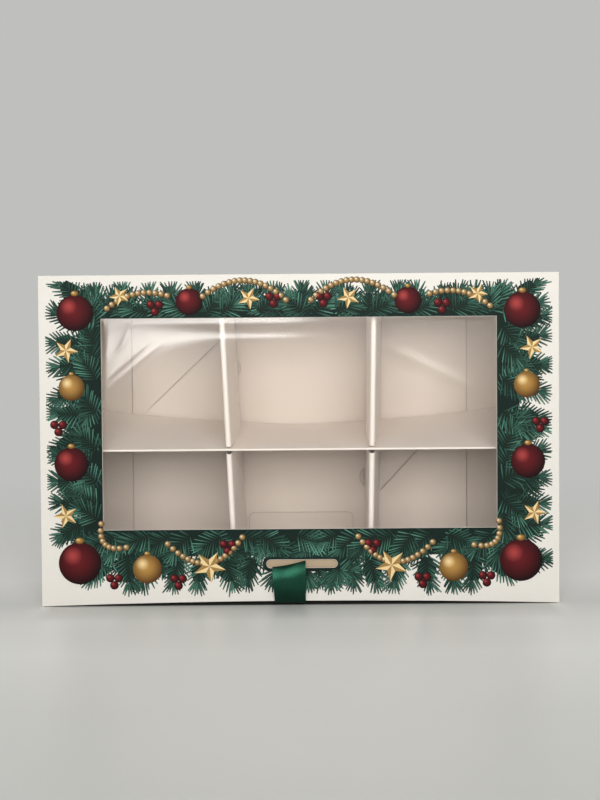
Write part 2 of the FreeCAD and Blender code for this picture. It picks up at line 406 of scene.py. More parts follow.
def finish_card(piece, node, material):
    """Gives a card its board thickness, finish and place in the carton."""
    thicken(piece, BOARD, -1, 35)
    dress(piece, material)
    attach(piece, "carton")
    if node:
        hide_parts(node)


for name in ("base_left_flap", "base_right_flap"):
    low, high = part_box(name)
    outward = 1 if low.x > 0 else -1
    free_x = low.x if outward > 0 else high.x
    flap = base_sheet(name, 8, 20)
    cut_levels(flap, Vector((free_x, 0, 0)), Vector((outward, 0, 0)))
    curl_and_shade_edge(flap, lambda place: abs(place.x - free_x))
    finish_card(flap, name, carton_board)

for name, ((x0, z0), (x1, z1)) in TAB_EDGES.items():
    edge_start = Vector((x0, 0, z0))
    slant = Vector((x1 - x0, 0, z1 - z0))
    inward = Vector((z0 - z1, 0, x1 - x0)).normalized()
    inward *= 1 if name == "base_right_glue_tab" else -1

    def slant_distance(place):
        offset = Vector((place.x - x0, 0, place.z - z0))
        beyond = max(0.0, offset.dot(slant) / slant.length - slant.length)
        return math.hypot(offset.dot(inward), beyond)

    tab = base_sheet(name, 12, 12)
    cut(tab, edge_start, inward, clear_inner=True)
    if name == "base_right_glue_tab":
        cut(tab, (RIGHT_TAB_END, 0, 0), (1, 0, 0), clear_inner=True)
    cut_levels(tab, edge_start, inward)
    curl_and_shade_edge(tab, slant_distance)
    finish_card(tab, name, carton_board)

# Upper flap: a strip with the tongue drawn down from its edge
flap_low, flap_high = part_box("base_upper_flap")
tongue_end = flap_low.z - TONGUE_OVERLAP
upper_flap = upright_panel("base_upper_flap_card", (flap_low.x, flap_high.x), (FLAP_EDGE, flap_high.z),
                           flap_low.y)
for x in TONGUE_SIDES:
    cut(upper_flap, (x, 0, 0), (1, 0, 0))
edit_where(upper_flap, "EDGE",
           lambda a, b: max(a.z, b.z) < FLAP_EDGE + BOARD and abs(a.x + b.x) < BOARD * 10)
bpy.ops.mesh.extrude_region_move(TRANSFORM_OT_translate={"value": (0, 0, tongue_end - FLAP_EDGE)})
edit_where(upper_flap, "VERT", lambda p: p.z < tongue_end + BOARD)
bpy.ops.mesh.bevel(offset=TONGUE_ROUND, segments=5, affect="VERTICES")
finish_card(upper_flap, "base_upper_flap", carton_board)

for name in ("base_lower_flap", "seam_tab"):
    dress(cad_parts[name], carton_board)

# Tongue of the lower flap, tucked in over the upper one's, its round-cornered end curled up
lower_tongue = upright_panel("base_lower_tongue_card", LOWER_TONGUE_SIDES, (LOWER_TONGUE_FOOT, flap_low.z),
                             flap_low.y - BOARD / 2)
edit_where(lower_tongue, "VERT", lambda p: p.z > flap_low.z - BOARD)
bpy.ops.mesh.bevel(offset=TONGUE_ROUND, segments=6, affect="VERTICES")
inset_rim(lower_tongue, GAP_SHADE_WIDTH)
cut_levels(lower_tongue, Vector((0, 0, flap_low.z)), Vector((0, 0, -1)))


def tongue_edge_distance(place):
    """Distance to the nearest free edge of the lower tongue, with its corners rounded."""
    left, right = LOWER_TONGUE_SIDES
    past_x = max(left + TONGUE_ROUND - place.x, place.x - right + TONGUE_ROUND, 0.0)
    past_z = max(place.z - flap_low.z + TONGUE_ROUND, 0.0)
    return TONGUE_ROUND - math.hypot(past_x, past_z)


# Painted shade along the tongue's free edge
mark_painted_gap_shade(lower_tongue, tongue_edge_distance)
for corner in lower_tongue.data.vertices:
    corner.co.y -= edge_lift(flap_low.z - corner.co.z) / 2
finish_card(lower_tongue, None, carton_board)

# The hooks of both tongues: where one passes over the other, its round end stands up as a lip
for name, (x, z, root) in zip(("base_hook_lip_left", "base_hook_lip_right"), HOOK_LIPS):
    lip = upright_disc(64, HOOK_RADIUS, (x, flap_low.y - BOARD, z))
    lip.name = name
    cut(lip, (root, 0, 0), (1, 0, 0), clear_inner=root < 0, clear_outer=root > 0)
    inset_rim(lip, GAP_SHADE_WIDTH)
    bpy.ops.object.mode_set(mode="OBJECT")
    # Painted shade along the lip's round edge
    mark_painted_gap_shade(lip, lambda place: HOOK_RADIUS - math.hypot(place.x - x, place.z - z))
    for corner in lip.data.vertices:
        corner.co.y -= HOOK_LIFT * abs(corner.co.x - root) / (HOOK_RADIUS - abs(x - root))
    finish_card(lip, None, carton_board)


# Insert
# Three strips of pale uncoated board, each folded double with the fold to the front. The long
# one is slotted from the back and the two cross walls from the front, and they lap to six cells.

INSERT_CREAM = (0.895, 0.812, 0.742, 1)
INSERT_SHADE = (0.860, 0.770, 0.700, 1)
CROSS_FOLD_RADIUS = 0.00135
SHELF_FOLD_RADIUS = 0.00056
FOLD_CROWDING = 2.4
# Where each cross wall's fold and the back edges of its two plies stand, at its foot and at its head
CROSS_WALLS = {
    "cross_divider_left": {
        "fold": (-0.0315, -0.0385), "left": (-0.0355, -0.0405), "right": (-0.0285, -0.0362),
    },
    "cross_divider_right": {
        "fold": (0.0340, 0.0370), "left": (0.0362, 0.0366), "right": (0.0425, 0.0455),
    },
}
PLY_BOW = 0.0006
PLY_CURVE = 1.15
SHELF_FRONT_HEIGHT = 0.0744
SHELF_BACK_HEIGHT = 0.0780
SHELF_CURVE = 1.1
SHELF_END_RISE = 0.0080
SHELF_RISE_REACH = 0.107
SHELF_RISE_MOST = 1.2
SHELF_RISE_CURVE = 1.6
SHELF_PLY_SPREAD = 0.0012
SHELF_SLOT_HALF = 0.0015
SHELF_SLOT_CUTS = (SHELF_FRONT_HEIGHT - SHELF_SLOT_HALF * 1.4, SHELF_FRONT_HEIGHT + SHELF_SLOT_HALF * 0.9)
SHELF_SLOT_REACH = SHELF_SLOT_HALF * 1.1
TIP_ROUND = 0.0024
insert_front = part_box("long_divider")[0].y
insert_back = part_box("long_divider")[1].y - FLAP_LIFT
insert_middle = (insert_front + insert_back) / 2
insert_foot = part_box("cross_divider_left")[0].z
insert_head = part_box("cross_divider_left")[1].z
insert_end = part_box("long_divider")[1].x
ply_length = insert_back - insert_front
insert_board = board_material("insert_board", INSERT_CREAM, INSERT_SHADE, cloud=0.30, bump=0.35)[0]


def fold_place(share, radius):
    """Side of a folded sheet, distance aside of its fold, distance behind its tip and share of its depth."""
    signed = share * 2 - 1
    distance = ply_length * abs(signed) ** FOLD_CROWDING
    quarter = radius * math.pi / 2
    side = 1 if signed > 0 else -1
    if distance < quarter:
        turn = distance / radius
        aside = math.sin(turn) * radius
        back = radius - math.cos(turn) * radius
    else:
        aside = radius
        back = radius + distance - quarter
    return side, aside, back, max(0.0, (back - radius) / (ply_length - radius))


# Cross walls: the fold leans a little, and the two plies spread apart towards the base
for name, lean in CROSS_WALLS.items():

    def cross_place(across, along):
        side, aside, back, depth_share = fold_place(across, CROSS_FOLD_RADIUS)
        fold_x = between(*lean["fold"], along)
        edge_x = between(*lean["right" if side > 0 else "left"], along) - side * CROSS_FOLD_RADIUS
        bow = math.sin(depth_share * math.pi) * PLY_BOW * side
        x = between(fold_x, edge_x, depth_share ** PLY_CURVE) + side * aside + bow
        return (x, insert_front + back, between(insert_foot, insert_head, along))

    wall = folded_sheet(name + "_card", 45, 60, cross_place)
    for level in SHELF_SLOT_CUTS:
        cut(wall, (0, 0, level), (0, 0, 1))
    edit_where(wall, "FACE", lambda place, normal: place.y < insert_middle
               and abs(place.z - SHELF_FRONT_HEIGHT) < SHELF_SLOT_REACH)
    bpy.ops.mesh.delete(type="FACE")
    for corner in wall.data.vertices:
        gap = abs(corner.co.z - SHELF_FRONT_HEIGHT) - SHELF_SLOT_HALF
        if gap < TIP_ROUND and corner.co.y < insert_front + TIP_ROUND:
            corner.co.y += TIP_ROUND - math.sqrt(max(0.0, TIP_ROUND ** 2 - (TIP_ROUND - max(0.0, gap)) ** 2))
    finish_card(wall, name, insert_board)


# Long divider: a shelf in this pose, a little lower at its front and lifted at its ends
def shelf_place(across, along):
    side, aside, back, depth_share = fold_place(across, SHELF_FOLD_RADIUS)
    x = between(-insert_end, insert_end, along)
    rise = SHELF_END_RISE * min(SHELF_RISE_MOST, abs(x) / SHELF_RISE_REACH) ** SHELF_RISE_CURVE
    spread = SHELF_PLY_SPREAD * depth_share if side < 0 else 0
    height = between(SHELF_FRONT_HEIGHT, SHELF_BACK_HEIGHT + rise, depth_share ** SHELF_CURVE)
    return (x, insert_front + back, height + side * aside - spread)


shelf = folded_sheet("long_divider_card", 45, 90, shelf_place)
finish_card(shelf, "long_divider", insert_board)


# Lid, tuck flap and dust flaps
# The lid is the blank's top panel with a window and a ribbon slot punched in it. The tuck flap
# on its free edge and the dust flaps on the end walls are creased on, all of the same board.

WINDOW_FROM_HEAD = 0.021
face_low, face_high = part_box("lid_panel")
for name in ("lid_panel", "tuck_flap", "dust_flap_left", "dust_flap_right"):
    dress(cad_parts[name], carton_board)
window_top = face_high.z - WINDOW_FROM_HEAD
window_bottom = 0.037
window_half = 0.095
slot_low = Vector((-0.01645, 0, 0.018))
slot_high = Vector((0.01785, 0, 0.022))


# Window film
# A sheet of clear film, glued by its border to the inside of the lid. It isn't quite taut: it
# stands out a little below the top edge and is puckered in the upper left corner.

FILM_THICKNESS = 0.00006
FILM_TINT = (0.985, 0.985, 0.98, 1)
FILM_IOR = 1.46
# Two places along the window and how rough the film's reflection is there
FILM_HAZE = ((-0.095, 0.268), (-0.035, 0.20))
FILM_RIM_SLOPE = 0.15
FILM_RIM_WIDTH = 0.0011
FILM_STREAK_SLOPE = 0.095
FILM_STREAK_HEIGHT = 0.1304
FILM_STREAK_WIDTH = 0.0012
FILM_STREAK_END = 0.002
FILM_STREAK_FADE = 0.016
FILM_CORNER_SLOPE = 0.125
FILM_CORNER_HEIGHT = 0.1225
FILM_CORNER_WIDTH = 0.0170
FILM_CORNER_REACH = 0.070
FILM_CORNER_CURVE = 1.6
FILM_SETTLE = 0.060
FILM_SIDE_FADE = 0.0006
FILM_FOOT_FADE = 0.004
FILM_HEAD_FADE = 0.002
FILM_WAVE = 0.00002
FILM_WAVES = ((70, 40), (-25, 95))
# First and last point of each soft fold, its half width and its height
PUCKERS = [
    ((-0.0945, 0.1080), (-0.0690, 0.1310), 0.0010, 0.00016),
    ((-0.0925, 0.1050), (-0.0640, 0.1290), 0.0010, 0.00015),
    ((-0.0945, 0.1150), (-0.0790, 0.1330), 0.0009, 0.00014),
    ((-0.0925, 0.1180), (-0.0905, 0.1380), 0.0011, 0.00014),
    ((-0.0860, 0.1240), (-0.0800, 0.1385), 0.0010, 0.00015),
    ((0.0440, 0.1240), (0.0830, 0.1040), 0.0030, 0.00025),
]
PUCKER_ENDS = (0.08, 0.92)
film_low, film_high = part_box("window_film")
lid_back = film_low.y


def smooth_step(low, high, value):
    """0 below low, 1 above high and a soft step between them."""
    share = min(1.0, max(0.0, (value - low) / (high - low)))
    return share * share * (3 - 2 * share)


def pucker_height(x, z):
    """Height of the film's soft folds, each a ridge along a line."""
    total = 0
    for (x0, z0), (x1, z1), reach, height in PUCKERS:
        run_x, run_z = x1 - x0, z1 - z0
        share = ((x - x0) * run_x + (z - z0) * run_z) / (run_x ** 2 + run_z ** 2)
        share = min(1.0, max(0.0, share))
        gap = math.hypot(x - x0 - run_x * share, z - z0 - run_z * share)
        fade = math.sin(math.pi * between(*PUCKER_ENDS, share))
        total += height * fade * math.exp(-(gap / reach) ** 2)
    return total


def slope_rise(z, middle, width):
    """Rise of the film from the window's top down to z, where its slope peaks at a level."""
    upper = math.erf((window_top - middle) / width)
    return width * math.sqrt(math.pi) / 2 * (upper - math.erf((z - middle) / width))


def film_place(across, along):
    x = between(film_low.x, film_high.x, across)
    z = between(film_low.z, film_high.z, along)
    corner = 1.0
    if x > -window_half:
        corner = max(0.0, 1 - (x + window_half) / FILM_CORNER_REACH) ** FILM_CORNER_CURVE
    middle = between(FILM_STREAK_HEIGHT, FILM_CORNER_HEIGHT, corner ** 2)
    width = between(FILM_STREAK_WIDTH, FILM_CORNER_WIDTH, corner ** 1.5)
    slope = between(FILM_STREAK_SLOPE, FILM_CORNER_SLOPE, corner)
    fade = 1 - smooth_step(FILM_STREAK_END - FILM_STREAK_FADE, FILM_STREAK_END + FILM_STREAK_FADE, x)
    out = slope * fade * slope_rise(z, middle, width)
    out += FILM_RIM_SLOPE * fade * slope_rise(z, window_top - FILM_RIM_WIDTH, FILM_RIM_WIDTH)
    out *= 1 - smooth_step(0.0, FILM_SETTLE, middle - width - z)
    edge_x = 1 - math.exp(-max(0.0, window_half - abs(x)) / FILM_SIDE_FADE)
    edge_z = smooth_step(0.0, FILM_FOOT_FADE, z - window_bottom)
    edge_z *= smooth_step(0.0, FILM_HEAD_FADE, window_top - z)
    wave = sum(FILM_WAVE * math.sin(x * by_x + z * by_z) for by_x, by_z in FILM_WAVES)
    out = (out + (wave + pucker_height(x, z)) * edge_z) * edge_x
    if z > window_top or z < window_bottom:
        out = 0
    return (x, lid_back + FILM_THICKNESS - out, z)


film = folded_sheet("window_film_sheet", 240, 150, film_place)
thicken(film, FILM_THICKNESS, 0, 60)

# Clear to look through and for light, with a softly blurred reflection on its surface
clear_film, film_tree, film_shader = new_material("clear_film")
set_shader(film_shader, Base_Color=FILM_TINT, Transmission_Weight=1.0, IOR=1.0, Roughness=0.0,
           Coat_Weight=1.0, Coat_IOR=FILM_IOR)
film_apart = add_node(film_tree, "ShaderNodeSeparateXYZ",
                      {0: add_node(film_tree, "ShaderNodeTexCoord").outputs["Object"]})
film_rough = map_range(film_tree, film_apart.outputs[0], *zip(*FILM_HAZE))
film_tree.links.new(film_rough, film_shader.inputs["Coat Roughness"])
film_path = add_node(film_tree, "ShaderNodeLightPath").outputs
film_light = calculate(film_tree, "MAXIMUM", film_path["Is Shadow Ray"], film_path["Is Diffuse Ray"])
film_clear = add_node(film_tree, "ShaderNodeBsdfTransparent")
film_mix = add_node(film_tree, "ShaderNodeMixShader",
                    {0: film_light, 1: film_shader.outputs[0], 2: film_clear.outputs[0]})
film_tree.links.new(film_mix.outputs[0], film_tree.nodes["Material Output"].inputs["Surface"])
dress(film, clear_film)
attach(film, "lid")
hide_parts("window_film")


# Lid print
# Offset print on the coated face, modelled as thin layers that stand up to 0.17 mm off it: a garland of
# fir sprigs round the window, with plain baubles, bead chains, stars and berries set in mirror pairs.

INK_SEED = 11
INK_ROUGHNESS = 0.60
INK_GLOSS = 0.12
INK_THICKNESS = 0.00002
GARLAND_EDGE_MARGIN = 0.0026
WINDOW_MARGIN = 0.00012
SLOT_MARGIN = 0.0008
NEEDLE_LENGTH = 0.0088
NEEDLE_WIDTH = 0.00060
NEEDLE_SPACING = 0.00138
NEEDLE_STEPS = 36
NEEDLE_LEAST_SHARE = 0.3
NEEDLE_SHADOW_SHARE = 1.75
NEEDLE_ON_SHADOW = 0.97
NEEDLE_SPREAD = (1.12, 0.52)
SPREAD_JITTER = 0.08
NEEDLE_LENGTHS = (0.84, 1.08)
FAN_ANGLES = (-0.33, -0.11, 0.11, 0.33)
FAN_JITTER = 0.05
FAN_LENGTHS = (0.80, 0.98)
STEM_WIDTH = 0.0010
STEM_BEND = 0.35
BLOT_SHARE = 0.80
BLOT_STRETCH = 1.15
BLOT_SINK = 0.000003
SHADOW_LIFT = 0.000020
NEEDLE_LIFT = 0.000028
LEVEL_LIFT = 0.000014
LIFT_JITTER = 0.000002
GROUND_INK = (0.006, 0.016, 0.013)
STEM_INK = (0.012, 0.018, 0.014)
SHADOW_ROOT = (0.004, 0.011, 0.009)
SHADOW_TIP = (0.007, 0.026, 0.020)
NEEDLE_ROOT = (0.011, 0.038, 0.027)
NEEDLE_TIP = (0.056, 0.152, 0.112)
TIP_LIGHT = (0.30, 1.40)
LIT_SIDE = 1.45
DARK_SIDE = 0.75
face_y = face_low.y
draw = random.Random(INK_SEED)

printed_ink, ink_tree, ink_shader = new_material("printed_ink")
ink_paint = add_node(ink_tree, "ShaderNodeAttribute", attribute_name="ink")
ink_tree.links.new(ink_paint.outputs["Color"], ink_shader.inputs["Base Color"])
set_shader(ink_shader, Roughness=INK_ROUGHNESS, Specular_IOR_Level=INK_GLOSS)


def paint(piece, shade):
    """Stores the ink colour of every point; shade gets the point's place in the mesh."""
    layer = piece.data.color_attributes.get("ink")
    if layer is None:
        layer = piece.data.color_attributes.new("ink", "FLOAT_COLOR", "POINT")
    values = []
    for corner in piece.data.vertices:
        values.extend((*shade(corner.co), 1.0))
    layer.data.foreach_set("color", values)


def blend_ink(first, second, share):
    """Colour at a share of the way between two inks."""
    share = min(1.0, max(0.0, share))
    return tuple(a + (b - a) * share for a, b in zip(first, second))


def stamp(model, matrix):
    """One more print of a model, with a mesh of its own."""
    piece = model.copy()
    piece.data = model.data.copy()
    piece.data.transform(matrix)
    bpy.context.scene.collection.objects.link(piece)
    return piece


def join_print(pieces, name):
    """Joins stamped pieces to one printed piece on the lid."""
    clear_selection()
    for piece in pieces:
        piece.select_set(True)
    bpy.context.view_layer.objects.active = pieces[0]
    bpy.ops.object.join()
    joined = bpy.context.object
    joined.name = name
    dress(joined, printed_ink)
    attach(joined, "lid")


def discard(model):
    """Removes a model that has been stamped."""
    bpy.data.objects.remove(model, do_unlink=True)


# One needle, a long flat hexagon one unit long, wide and high, from the face outwards
needle = upright_disc(6, 0.5, (0.5, 0, 0))
apply_modifier(needle, "SOLIDIFY", thickness=1, offset=1)


def barred(x, z):
    """True off the printed area: in the window, in the slot or too near the lid's edge."""
    in_window = (abs(x) < window_half + WINDOW_MARGIN
                 and window_bottom - WINDOW_MARGIN < z < window_top + WINDOW_MARGIN)
    in_slot = (slot_low.x - SLOT_MARGIN < x < slot_high.x + SLOT_MARGIN
               and slot_low.z - SLOT_MARGIN < z < slot_high.z + SLOT_MARGIN)
    at_edge = (abs(x) > face_high.x - GARLAND_EDGE_MARGIN
               or not GARLAND_EDGE_MARGIN < z < face_high.z - GARLAND_EDGE_MARGIN)
    return in_window or in_slot or at_edge


def step_from(start, heading, along):
    """Point on the lid's face at a distance along a heading."""
    return (start[0] + math.cos(heading) * along, start[1] + math.sin(heading) * along)


def needle_stamp(start, heading, length, width, lift, root, tip):
    """One needle from its root on the stem, cut short where the print ends."""
    reach = 0
    for i in range(NEEDLE_STEPS + 1):
        along = length * i / NEEDLE_STEPS
        if barred(*step_from(start, heading, along)):
            break
        reach = along
    if reach < length * NEEDLE_LEAST_SHARE:
        return None
    piece = stamp(needle, Matrix.Identity(4))
    paint(piece, lambda place: blend_ink(root, tip, place.x * reach / length))
    piece.data.transform(Matrix.Translation((start[0], face_y, start[1]))
                         @ Matrix.Rotation(-heading, 4, "Y")
                         @ Matrix.Diagonal((reach, lift, width, 1)))
    return piece


def sprig(base, heading, stem, level, tint):
    """A fir sprig: dark blot, a bent stem, needles on both sides of it and a fan at its tip."""
    bend = draw.uniform(-STEM_BEND, STEM_BEND)
    stations = max(5, round(stem / NEEDLE_SPACING))
    lit_side = draw.choice((-1, 1))
    lift = LEVEL_LIFT * level
    made = []
    stem_heading = heading + bend / 4
    blot_half = stem * BLOT_SHARE / 2
    blot_middle = step_from(base, stem_heading, stem / 2)
    blot_sides = [step_from(blot_middle, stem_heading + math.pi / 2, blot_half * side) for side in (-1, 1)]
    if not any(barred(*spot) for spot in blot_sides):
        made.append(needle_stamp(base, stem_heading, stem * BLOT_STRETCH, blot_half * 2,
                                 SHADOW_LIFT + lift - BLOT_SINK, GROUND_INK, GROUND_INK))
    needles = [(base, stem_heading, stem, 0)]
    for i in range(stations + 1):
        share = i / stations
        spot = step_from(base, heading + bend * share / 2, stem * share)
        for side in (-1, 1):
            spread = between(*NEEDLE_SPREAD, share) + draw.uniform(-SPREAD_JITTER, SPREAD_JITTER)
            needles.append((spot, heading + bend * share + side * spread,
                            NEEDLE_LENGTH * draw.uniform(*NEEDLE_LENGTHS), side))
    for fan in FAN_ANGLES:
        angle = heading + bend + fan + draw.uniform(-FAN_JITTER, FAN_JITTER)
        needles.append((spot, angle, NEEDLE_LENGTH * draw.uniform(*FAN_LENGTHS), 1 if fan > 0 else -1))
    for spot, angle, length, side in needles:
        high = lift + draw.uniform(-LIFT_JITTER, LIFT_JITTER)
        width = NEEDLE_WIDTH if side else STEM_WIDTH
        light = tint * draw.uniform(*TIP_LIGHT) * (LIT_SIDE if side == lit_side else DARK_SIDE)
        tip = tuple(value * light for value in NEEDLE_TIP) if side else STEM_INK
        root = tuple(value * min(1.0, tint) for value in NEEDLE_ROOT) if side else STEM_INK
        made.append(needle_stamp(spot, angle, length, width * NEEDLE_SHADOW_SHARE, SHADOW_LIFT + high,
                                 SHADOW_ROOT, SHADOW_TIP))
        made.append(needle_stamp(spot, angle, length * NEEDLE_ON_SHADOW, width, NEEDLE_LIFT + high,
                                 root, tip))
    return [piece for piece in made if piece is not None]


# Rows of sprigs round the window and under the slot: first and last point, outward heading, then for three
# tiers from the lowest up how far out they start, their stem and their count
SIDE_TIERS = ((0.0050, 0.0090, 16), (0.0090, 0.0105, 10), (0.0020, 0.0090, 13))
SPRIG_ROWS = [
    ("garland_left", (-0.0960, 0.034), (-0.0960, 0.142), math.pi, SIDE_TIERS),
    ("garland_right", (0.0960, 0.034), (0.0960, 0.142), 0.0, SIDE_TIERS),
    ("garland_top", (-0.1000, 0.140), (0.1000, 0.140), math.pi / 2,
     ((0.0020, 0.0065, 28), (0.0020, 0.0085, 17), (0.0016, 0.0070, 22))),
    ("garland_bottom", (-0.1000, 0.036), (0.1000, 0.036), -math.pi / 2,
     ((0.0070, 0.0100, 30), (0.0125, 0.0112, 17), (0.0022, 0.0100, 22))),
    ("garland_slot", (-0.0165, 0.0176), (0.0180, 0.0176), -math.pi / 2,
     ((0.0000, 0.0022, 8), (0.0008, 0.0030, 6), (0.0000, 0.0018, 7))),
]
# Least and most lean of each tier's sprigs, and its tint
SPRIG_TIERS = ((0.0, 1.30, 0.45), (0.0, 0.30, 1.00), (0.55, 1.25, 1.10))
PLACE_JITTER = 0.2
STEM_SHARES = (0.9, 1.1)
TINT_SHARES = (0.8, 1.25)
CORNER_LEAN = 0.75
CORNER_CURVE = 5
for name, first, last, outward, tiers in SPRIG_ROWS:
    needles = []
    along_heading = math.atan2(last[1] - first[1], last[0] - first[0])
    toward_end = math.copysign(1, math.sin(along_heading - outward))
    for tier, ((out, stem, count), (least, most, tint)) in enumerate(zip(tiers, SPRIG_TIERS)):
        for i in range(count + 1):
            share = (i + tier % 2 * 0.5 + draw.uniform(-PLACE_JITTER, PLACE_JITTER)) / count
            lean = (share - 0.5) * 2
            row_point = (between(first[0], last[0], share), between(first[1], last[1], share))
            base = step_from(row_point, outward, out)
            corner_lean = math.copysign(abs(lean) ** CORNER_CURVE * CORNER_LEAN, lean) * toward_end
            heading = outward + corner_lean + draw.choice((-1, 1)) * draw.uniform(least, most)
            if barred(*base):
                continue
            needles += sprig(base, heading, stem * draw.uniform(*STEM_SHARES), tier * 2 + i % 2,
                             tint * draw.uniform(*TINT_SHARES))
    join_print(needles, name)
discard(needle)

# Dark ground between the sprigs' stems, a ragged frame along the window's edge
GROUND_WIDTH = 0.0070
GROUND_FOOT_MORE = 0.0062
GROUND_SIDE_MORE = 0.0042
GROUND_RAGGED = 0.0042
GROUND_CUTS = 44
SLOT_RIM = 0.0019
ground_reach = WINDOW_MARGIN + GROUND_WIDTH
ground = upright_panel("garland_ground", (-window_half - ground_reach, window_half + ground_reach),
                       (window_bottom - ground_reach, window_top + ground_reach), face_y)
inset_rim(ground, GROUND_WIDTH)
bpy.ops.mesh.delete(type="FACE")
edit_where(ground, "VERT", lambda p: p.z < window_bottom - GROUND_WIDTH / 2)
bpy.ops.transform.translate(value=(0, 0, -GROUND_FOOT_MORE))
for side in (-1, 1):
    edit_where(ground, "VERT", lambda p: p.x * side > window_half + GROUND_WIDTH / 2)
    bpy.ops.transform.translate(value=(side * GROUND_SIDE_MORE, 0, 0))
edit_where(ground, "EDGE", lambda a, b: True)
bpy.ops.mesh.subdivide(number_cuts=GROUND_CUTS)
bpy.ops.object.mode_set(mode="OBJECT")
ground_side = max(corner.co.x for corner in ground.data.vertices)
ground_foot = min(corner.co.z for corner in ground.data.vertices)
ground_head = max(corner.co.z for corner in ground.data.vertices)
for corner in ground.data.vertices:
    if ground_side - abs(corner.co.x) < WINDOW_MARGIN:
        corner.co.x -= math.copysign(draw.uniform(0, GROUND_RAGGED), corner.co.x)
    elif corner.co.z - ground_foot < WINDOW_MARGIN:
        corner.co.z += draw.uniform(0, GROUND_RAGGED)
    elif ground_head - corner.co.z < WINDOW_MARGIN:
        corner.co.z -= draw.uniform(0, GROUND_RAGGED)
apply_modifier(ground, "SOLIDIFY", thickness=INK_THICKNESS, offset=1)

# The same ground as a rim round the slot
slot_radius = (slot_high.z - slot_low.z) / 2
slot_rim = upright_disc(48, slot_radius + SLOT_RIM,
                        (slot_low.x + slot_radius, face_y, slot_low.z + slot_radius))
edit_where(slot_rim, "VERT", lambda p: p.x > slot_low.x + slot_radius)
bpy.ops.transform.translate(value=(slot_high.x - slot_low.x - slot_radius * 2, 0, 0))
inset_rim(slot_rim, SLOT_RIM - WINDOW_MARGIN)
bpy.ops.mesh.delete(type="FACE")
apply_modifier(slot_rim, "SOLIDIFY", thickness=INK_THICKNESS, offset=1)
for piece in (ground, slot_rim):
    paint(piece, lambda place: GROUND_INK)
join_print([ground, slot_rim], "garland_ground")

# Beads: one flattened ball, stamped along hanging chains
BEAD_GOLD = ((0.065, 0.034, 0.012), (0.42, 0.27, 0.11), (0.95, 0.84, 0.62))
BEAD = 0.0031
BEAD_PITCH = BEAD * 1.02
SAG_LENGTH = 1.2
PRINT_BASE = 0.00011
PRINT_TOP = 0.00005
BODY_PLACE = (-0.06, 0.07)
BODY_REACH = 0.12
BODY_FADE = 0.42
SPOT_PLACE = (-0.17, 0.18)
SPOT_REACH = 0.03
SPOT_FADE = 0.20
# First and last bead of each chain and its sag
CHAINS = [
    ((0.006, 0.1475), (0.046, 0.1495), 0.0085), ((0.063, 0.1500), (0.092, 0.1440), 0.0040),
    ((0.028, 0.0330), (0.064, 0.0300), -0.0110), ((0.084, 0.0285), (0.096, 0.0400), -0.0060),
]


def disc_model(segments, rings, inks):
    """A round motif one unit wide: a ball pressed almost flat, painted as if it were round."""
    dark, middle, light = inks

    def shade(place):
        from_body = math.dist((place.x, place.z), BODY_PLACE)
        from_spot = math.dist((place.x, place.z), SPOT_PLACE)
        body = blend_ink(middle, dark, (from_body - BODY_REACH) / BODY_FADE)
        return blend_ink(light, body, (from_spot - SPOT_REACH) / SPOT_FADE)

    clear_selection()
    bpy.ops.mesh.primitive_uv_sphere_add(segments=segments, ring_count=rings, radius=0.5,
                                         rotation=(math.pi / 2, 0, 0))
    model = bpy.context.object
    bpy.ops.object.transform_apply(location=False, rotation=True, scale=False)
    bpy.ops.object.shade_smooth()
    paint(model, shade)
    return model


def press(place, width, height=None, turn=0.0, top=PRINT_TOP):
    """Matrix that sets a one-unit motif on the face at a place."""
    return (Matrix.Translation((place[0], face_y - PRINT_BASE, place[1])) @ Matrix.Rotation(turn, 4, "Y")
            @ Matrix.Diagonal((width, top * 2, height or width, 1)))


bead = disc_model(14, 8, BEAD_GOLD)
beads = []
for (x0, z0), (x1, z1), sag in CHAINS:
    run = math.hypot(x1 - x0, z1 - z0)
    count = max(3, round((run + abs(sag) * SAG_LENGTH) / BEAD_PITCH))
    for i in range(count + 1):
        share = i / count
        bow = 4 * share * (1 - share) * sag
        x = between(x0, x1, share) - (z1 - z0) / run * bow
        z = between(z0, z1, share) + (x1 - x0) / run * bow
        for side in (-1, 1):
            if not barred(side * x, z):
                beads.append(stamp(bead, press((side * x, z), BEAD)))
join_print(beads, "print_beads")
discard(bead)

# Baubles with a cap, in mirror pairs: inks, place and width
RED = ((0.012, 0.003, 0.004), (0.110, 0.009, 0.012), (0.360, 0.050, 0.048))
GOLD = ((0.090, 0.040, 0.010), (0.420, 0.230, 0.060), (0.800, 0.600, 0.300))
BAUBLES = [
    (RED, (0.1065, 0.0210), 0.0205), (GOLD, (0.0740, 0.0180), 0.0140), (RED, (0.1100, 0.0690), 0.0165),
    (GOLD, (0.1095, 0.1060), 0.0125), (RED, (0.1075, 0.1420), 0.0175), (RED, (0.0525, 0.1470), 0.0130),
]
CAP_RISE = 0.53
CAP_WIDTH = 0.22
CAP_HEIGHT = 0.16
CAP_TOP = PRINT_TOP * 1.1
baubles = []
cap = disc_model(16, 8, GOLD)
for inks, (x, z), width in BAUBLES:
    ball = disc_model(40, 20, inks)
    for side in (-1, 1):
        cap_place = (side * x, z + width * CAP_RISE)
        baubles.append(stamp(ball, press((side * x, z), width)))
        baubles.append(stamp(cap, press(cap_place, width * CAP_WIDTH, width * CAP_HEIGHT, 0, CAP_TOP)))
    discard(ball)
discard(cap)
join_print(baubles, "print_baubles")

